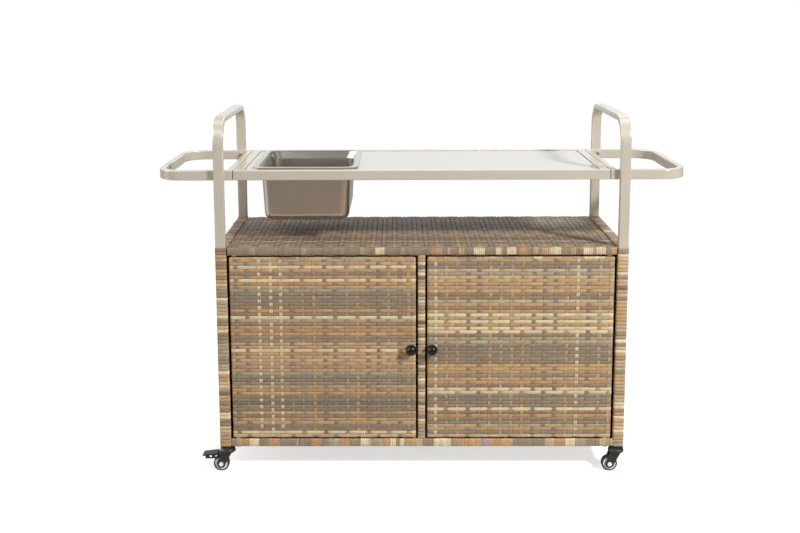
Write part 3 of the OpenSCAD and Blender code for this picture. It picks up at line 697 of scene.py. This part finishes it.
def wrapBar(name, lo, hi, wrap, replaced):
    axes = barTurns[wrap["across"]]
    width, depth, run = [(hi - lo).dot(axis) for axis in axes]
    count = round(run / wrap["pitch"])
    pitch = run / count
    path = ringPath(width, depth, wrapShape["corner"], wrapShape["thick"])
    mesh = strand(f"{name}_turn", path, axes, pitch * wrapShape["fill"], wrapShape["thick"])
    tones = filledSett(readSett(wrap.get("tones", "")), count, wrapMix, wrapShape["longest"])
    if wrap["across"] == "z":
        tones.reverse()  # a post's tones are listed from the top down
    items = []
    for i, letter in enumerate(tones):
        tone = strandTone(letter, wrapShape["spread"], wrap.get("shade", 1.0))
        items.append((mesh, lo + axes[2] * (i + 0.5) * pitch, tone))
    layStrands(name, items, rattanAcross[wrap["across"]], "cart", (replaced,))


for name, wrap in wraps.items():
    lo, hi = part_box(name)
    wrapBar(f"{name}_turns", lo, hi, wrap, name)

# Side rails: one node holds the four wraps
# The left rails' strands are darker than the right ones (left 0.78, right 0.86): painted shade, for less
# light on the left.
railShape = {"width": 0.0276, "height": 0.0176, "pitch": 0.0087, "left": 0.78, "right": 0.86}
railLo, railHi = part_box("side_rail_wraps")
for side, x in (("left", railLo.x), ("right", railHi.x - railShape["width"])):
    for level, z in (("low", railLo.z), ("high", railHi.z - railShape["height"])):
        lo = Vector((x, railLo.y, z))
        hi = Vector((x + railShape["width"], railHi.y, z + railShape["height"]))
        wrap = {"across": "y", "pitch": railShape["pitch"], "shade": railShape[side]}
        wrapBar(f"{side}_{level}_rail_turns", lo, hi, wrap, "side_rail_wraps")
print("bars wrapped")

# Shelf front: strands bent over the front edge, side by side
shelfBand = {
    "pitch": 0.0046,
    "fill": 0.97,
    "thick": 0.0014,
    "corner": 0.004,
    "top": 0.007,      # reach over the top
    "under": 0.009,    # reach below
    "proud": 0.0006,
    "shade": 0.94,
    "spread": 0.08,
    "longest": 5,
    "tones": "12g 3l 9g 2b 14g 3k 11g 2b 16g 2l 6g 5c 9g 2l 14g 6o 3g 2t 4g 3h 5g 6c 6g 3c 3g 5c "
             "2g 4o 3g 3h 2g 4h 6c 5g 3h 4g 5c 2h 5c 3g",
}


def bendShelfBand():
    lo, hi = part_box("shelf_panel")
    half = shelfBand["thick"] / 2
    height = hi.z - lo.z
    path = [(shelfBand["corner"], half)] + [(v, u) for u, v in edgeBend(shelfBand["corner"], half)]
    path += [(u, height - v) for u, v in reversed(path)]
    path = [(shelfBand["top"], half)] + path + [(shelfBand["under"], height - half)]
    count = round((hi.x - lo.x) / shelfBand["pitch"])
    pitch = (hi.x - lo.x) / count
    mesh = strand("shelf_band_strand", [(u, v, 1.0) for u, v in path], (yAxis, -zAxis, xAxis),
                  shelfBand["pitch"] * shelfBand["fill"], shelfBand["thick"], 6, False)
    tones = filledSett(readSett(shelfBand["tones"]), count, wrapMix, shelfBand["longest"])
    items = []
    for i, letter in enumerate(tones):
        place = (lo.x + (i + 0.5) * pitch, lo.y - shelfBand["proud"], hi.z + shelfBand["proud"])
        items.append((mesh, place, strandTone(letter, shelfBand["spread"], shelfBand["shade"])))
    layStrands("shelf_band", items, rattanAcross["x"], "cart", ())
    print("shelf band bent")


bendShelfBand()


# Metal, glass and plastic
def dress(finish, *names):
    for name in names:
        slots = nodes[name].material_slots
        if not slots:
            nodes[name].data.materials.append(finish)
        for slot in slots:
            slot.material = finish


# Two tones in soft clouds, and where speck is given, fine specks in the roughness
smoothFinishes = {
    "champagne_paint": {
        "tones": ((203, 195, 179), (214, 207, 192)), "cloud": 14.0, "cloudDetail": 3.0,
        "roughness": 0.2, "speck": 900.0, "speckRoughness": 0.08, "bump": 0.05, "metallic": 0.3,
        "nodes": ("left_arch", "right_arch", "side_rails", "front_bottom_rail", "centre_mullion",
                  "counter_frame", "left_loop", "right_loop", "left_door_frame", "right_door_frame"),
    },
    "milk_glass": {
        "tones": ((198, 196, 189), (203, 201, 194)), "cloud": 5.0, "roughness": 0.035, "specular": 0.45,
        "nodes": ("counter_glass",),
    },
    "bolt_zinc": {
        "tones": ((206, 205, 200), (228, 227, 222)), "cloud": 90.0,
        "roughness": 0.16, "speck": 300.0, "speckRoughness": 0.1, "metallic": 1.0,
        "nodes": ("loop_bolts", "pivot_pins", "pivot_washers", "left_knob_screw", "right_knob_screw",
                  "left_strike", "right_strike"),
    },
    "black_plastic": {
        "tones": ((24, 23, 23), (34, 33, 32)), "cloud": 30.0,
        "roughness": 0.4, "speck": 1400.0, "speckRoughness": 0.15, "bump": 0.1,
        "nodes": ("glass_pads", "panel_bolts", "panel_spacers", "door_catches", "left_door_bushings",
                  "right_door_bushings", "caster_sockets", "front_left_fork", "front_right_fork",
                  "back_left_fork", "back_right_fork", "front_left_pedal", "back_left_pedal"),
    },
    "knob_lacquer": {
        "tones": ((9, 8, 8), (15, 14, 14)), "cloud": 60.0, "roughness": 0.24, "specular": 0.3,
        "nodes": ("left_knob", "right_knob"),
    },
    "tyre_rubber": {
        "tones": ((34, 33, 32), (50, 49, 48)), "cloud": 40.0,
        "roughness": 0.62, "speck": 500.0, "speckRoughness": 0.1,
        "nodes": ("front_left_tyre", "front_right_tyre", "back_left_tyre", "back_right_tyre"),
    },
    "wheel_nylon": {
        "tones": ((246, 245, 242), (250, 250, 248)), "cloud": 50.0, "roughness": 0.45,
        "nodes": ("front_left_wheel", "front_right_wheel", "back_left_wheel", "back_right_wheel",
                  "front_left_axle", "front_right_axle", "back_left_axle", "back_right_axle"),
    },
}
speckDepth = 0.0002


def smoothFinish(name, look):
    f = Finish(name)
    cloud = f.noise(f.place(), look["cloud"], look.get("cloudDetail", 2.0))
    roughness = look["roughness"]
    if "speck" in look:
        speck = f.noise(f.place(), look["speck"])
        roughness = roughness + speck * look["speckRoughness"]
        if "bump" in look:
            f.set(Normal=f.bump(speck, look["bump"], speckDepth))
    low, high = look["tones"]
    return f.set(Base_Color=f.mix(cloud, light(*low), light(*high)), Roughness=roughness,
                 Metallic=look.get("metallic", 0.0), Specular_IOR_Level=look.get("specular", 0.5))


for name, look in smoothFinishes.items():
    dress(smoothFinish(name, look), *look["nodes"])

# Brushed steel: the brush lines run level round the pan
steel = {"low": (176, 170, 161), "high": (200, 195, 187), "brush": (18.0, 18.0, 700.0), "haze": 12.0,
         "roughness": 0.14, "hazeRoughness": 0.1, "brushRoughness": 0.05, "bump": 0.08}
f = Finish("brushed_steel")
brush = f.noise(f.stretched(steel["brush"]), 1.0, 3.0)
haze = f.noise(f.place(), steel["haze"], 3.0)
brushedSteel = f.set(
    Base_Color=f.mix(haze, light(*steel["low"]), light(*steel["high"])), Metallic=1.0,
    Roughness=steel["roughness"] + haze * steel["hazeRoughness"] + brush * steel["brushRoughness"],
    Normal=f.bump(brush, steel["bump"], speckDepth))
dress(brushedSteel, "steel_pan")
print("metal and plastic dressed")

# Floor: pale, white towards its rim, keeping the cart's shadow. Mirrors see it dimmer in front,
# to the right and behind.
floor = {
    "radius": 9.0,
    "pale": (0.82, 0.82, 0.81),
    "bounce": (0.5, 0.48, 0.46),
    "reflected": light(156, 136, 118),
    "glow": 0.64,
    "fadeFrom": 1.3, "fadeTo": 3.2,
    "front": 0.1, "beside": 0.8, "besideFrom": -1.75, "besideTo": -0.6,
    "right": 0.25, "rightFrom": 0.5, "rightTo": 1.8,
    "behind": 0.3, "behindFrom": 0.2, "behindTo": 1.5,
}
whiteTone = (1.0, 1.0, 1.0)
bm = bmesh.new()
bmesh.ops.create_circle(bm, segments=96, radius=floor["radius"], cap_ends=True)
floorMesh = meshFrom(bm, "floor")
floorObject = linkObject("floor", floorMesh)
f = Finish("floor_white")
f.tree.nodes.remove(f.shader)
output = f.tree.nodes["Material Output"]
far = f.node("ShaderNodeVectorMath", {"operation": "LENGTH"}, {0: f.place()}, "Value")
fade = f.ease(far, floor["fadeFrom"], floor["fadeTo"])
onward = f.part(f.place(), "Y")
sideways = f.part(f.place(), "X")
mirrored = f.ray("Glossy")
mirror = f.ease(onward, floor["besideFrom"], floor["besideTo"], floor["front"], floor["beside"])
mirror = mirror * f.ease(sideways, floor["rightFrom"], floor["rightTo"], 1.0, floor["right"])
mirror = mirror * f.ease(onward, floor["behindFrom"], floor["behindTo"], 1.0, floor["behind"])
seen = f.ray("Camera") + f.ray("Transmission") + mirrored * mirror
ground = f.mix(f.ray("Camera"), floor["bounce"], floor["pale"])
diffuse = f.node("ShaderNodeBsdfDiffuse", {}, {"Color": f.mix(mirrored, ground, floor["reflected"])})
glow = f.node("ShaderNodeEmission", {}, {"Color": whiteTone, "Strength": seen * floor["glow"]})
white = f.node("ShaderNodeEmission", {}, {"Color": whiteTone, "Strength": 1.0})
lit = f.node("ShaderNodeAddShader", {}, {0: diffuse, 1: glow})
whole = f.node("ShaderNodeMixShader", {}, {0: fade * seen, 1: lit, 2: white})
plug(f.tree, output.inputs["Surface"], whole)
floorMesh.materials.append(f.material)

# World: white where it is seen, soft grey light on the cart. In mirrors it is dimmer overhead, in
# front and to the right, and brighter to the left.
studio = {
    "light": 0.13,
    "overhead": 0.6, "overheadFrom": 0.45, "overheadTo": 0.8,
    "front": 0.5, "frontFrom": -0.75, "frontTo": -0.1,
    "right": 0.3, "rightFrom": 0.45, "rightTo": 0.75,
    "left": 2.0, "leftFrom": -0.5, "leftTo": -0.85, "leftLow": 0.0, "leftHigh": 0.12,
}
world = bpy.data.worlds.new("studio")
scene.world = world
world.use_nodes = True
w = NodeMaker(world.node_tree)
background = w.tree.nodes["Background"]
way = w.node("ShaderNodeTexCoord", {}, {}, "Generated")
sideways, onward, height = [w.part(way, axis) for axis in "XYZ"]
mirror = w.ease(height, studio["overheadFrom"], studio["overheadTo"], 1.0, studio["overhead"])
mirror = mirror * w.ease(onward, studio["frontFrom"], studio["frontTo"], studio["front"], 1.0)
mirror = mirror * w.ease(sideways, studio["rightFrom"], studio["rightTo"], 1.0, studio["right"])
leftward = w.ease(sideways, studio["leftFrom"], studio["leftTo"], 0.0, studio["left"])
mirror = mirror + leftward * w.ease(height, studio["leftLow"], studio["leftHigh"])
mirrored = w.ray("Glossy")
seen = w.ray("Camera") + w.ray("Transmission")
unseen = 1.0 - (seen + mirrored)
plug(w.tree, background.inputs["Strength"], seen + mirrored * mirror + unseen * studio["light"])
plug(w.tree, background.inputs["Color"], whiteTone)

# Lamps: large and soft, stronger from the right
lamps = {
    "key": {"place": (2.8, -2.7, 3.0), "aim": (0.0, 0.0, 0.5), "size": 0.6, "power": 212.0},
    "fill": {"place": (-1.9, -2.0, 2.9), "aim": (0.0, 0.0, 0.5), "size": 2.0, "power": 26.0},
    "top": {"place": (0.1, 0.3, 3.2), "aim": (0.0, 0.0, 0.6), "size": 2.2, "power": 14.0},
    "side": {"place": (-3.2, -0.5, 1.5), "aim": (0.3, 0.0, 0.7), "size": 1.6, "power": 22.0},
    "rear": {"place": (0.3, 2.4, 3.3), "aim": (0.0, 0.0, 0.5), "size": 1.8, "power": 26.0},
}
for name, lamp in lamps.items():
    data = bpy.data.lights.new(name, "AREA")
    data.shape = "DISK"
    data.size = lamp["size"]
    data.energy = lamp["power"]
    lampObject = linkObject(name, data)
    lampObject.location = lamp["place"]
    aim = Vector(lamp["aim"]) - Vector(lamp["place"])
    lampObject.rotation_euler = aim.to_track_quat("-Z", "Y").to_euler()
print("studio lit")
